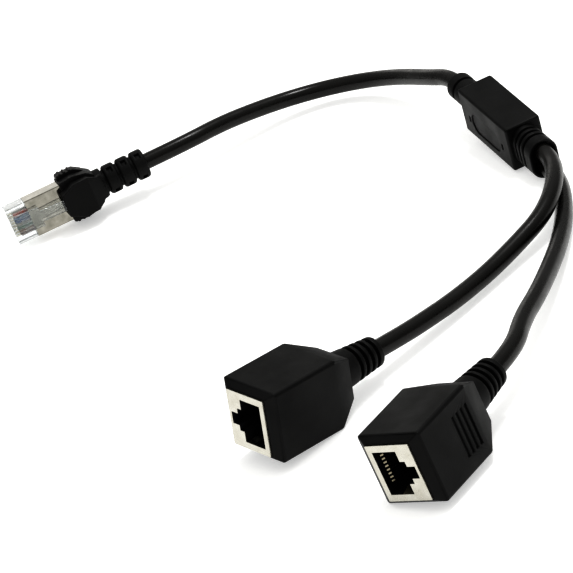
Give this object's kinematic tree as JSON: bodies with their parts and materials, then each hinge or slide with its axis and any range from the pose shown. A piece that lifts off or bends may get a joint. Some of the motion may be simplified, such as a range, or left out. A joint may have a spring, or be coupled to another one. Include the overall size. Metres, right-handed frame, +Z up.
{
  "type": "network splitter lead",
  "caption": "Short network splitter lead: a shielded modular plug on a round cable, a moulded junction block, and two branch cables ending in boxy shielded sockets.",
  "frame": {"origin": "centre of the bounding box of the rigid pieces in plan, on the table they lie on", "axes": "+Z up from the table; the socket mouths look towards -Y, each within eight degrees of it; +X is across the lead, along its longest extent"},
  "size_m": [0.2426, 0.1864, 0.0235],
  "materials": {
    "overmould": "fine matt texture",
    "cable_jacket": "satin extruded jacket",
    "clear_plastic": "clear, glossy",
    "nickel_sheet": "bright nickel plate",
    "gold_plate": "gold plated contact",
    "jack_plastic": "moulded, matt",
    "natural_plastic": "moulded, matt",
    "wire_1": "white with an orange stripe",
    "wire_2": "orange",
    "wire_3": "white with a green stripe",
    "wire_4": "blue",
    "wire_5": "white with a blue stripe",
    "wire_6": "green",
    "wire_7": "white with a brown stripe",
    "wire_8": "brown"
  },
  "bodies": {
    "root": {"plug_body": "clear_plastic", "plug_shield": "nickel_sheet", "plug_boot": "overmould", "plug_contact_1": "gold_plate", "plug_contact_2": "gold_plate", "plug_contact_3": "gold_plate", "plug_contact_4": "gold_plate", "plug_contact_5": "gold_plate", "plug_contact_6": "gold_plate", "plug_contact_7": "gold_plate", "plug_contact_8": "gold_plate", "plug_wire_1": "wire_1", "plug_wire_2": "wire_2", "plug_wire_3": "wire_3", "plug_wire_4": "wire_4", "plug_wire_5": "wire_5", "plug_wire_6": "wire_6", "plug_wire_7": "wire_7", "plug_wire_8": "wire_8", "trunk_cable": "cable_jacket", "junction_cover": "overmould", "splice_core": "natural_plastic", "branch_cable_1": "cable_jacket", "branch_cable_2": "cable_jacket", "socket_1_housing": "overmould", "socket_1_shield": "nickel_sheet", "socket_1_insert": "jack_plastic", "socket_1_comb": "jack_plastic", "socket_1_wire_holder": "natural_plastic", "socket_1_contact_1": "gold_plate", "socket_1_contact_2": "gold_plate", "socket_1_contact_3": "gold_plate", "socket_1_contact_4": "gold_plate", "socket_1_contact_5": "gold_plate", "socket_1_contact_6": "gold_plate", "socket_1_contact_7": "gold_plate", "socket_1_contact_8": "gold_plate", "socket_2_housing": "overmould", "socket_2_shield": "nickel_sheet", "socket_2_insert": "jack_plastic", "socket_2_comb": "jack_plastic", "socket_2_wire_holder": "natural_plastic", "socket_2_contact_1": "gold_plate", "socket_2_contact_2": "gold_plate", "socket_2_contact_3": "gold_plate", "socket_2_contact_4": "gold_plate", "socket_2_contact_5": "gold_plate", "socket_2_contact_6": "gold_plate", "socket_2_contact_7": "gold_plate", "socket_2_contact_8": "gold_plate"}
  },
  "joints": []
}
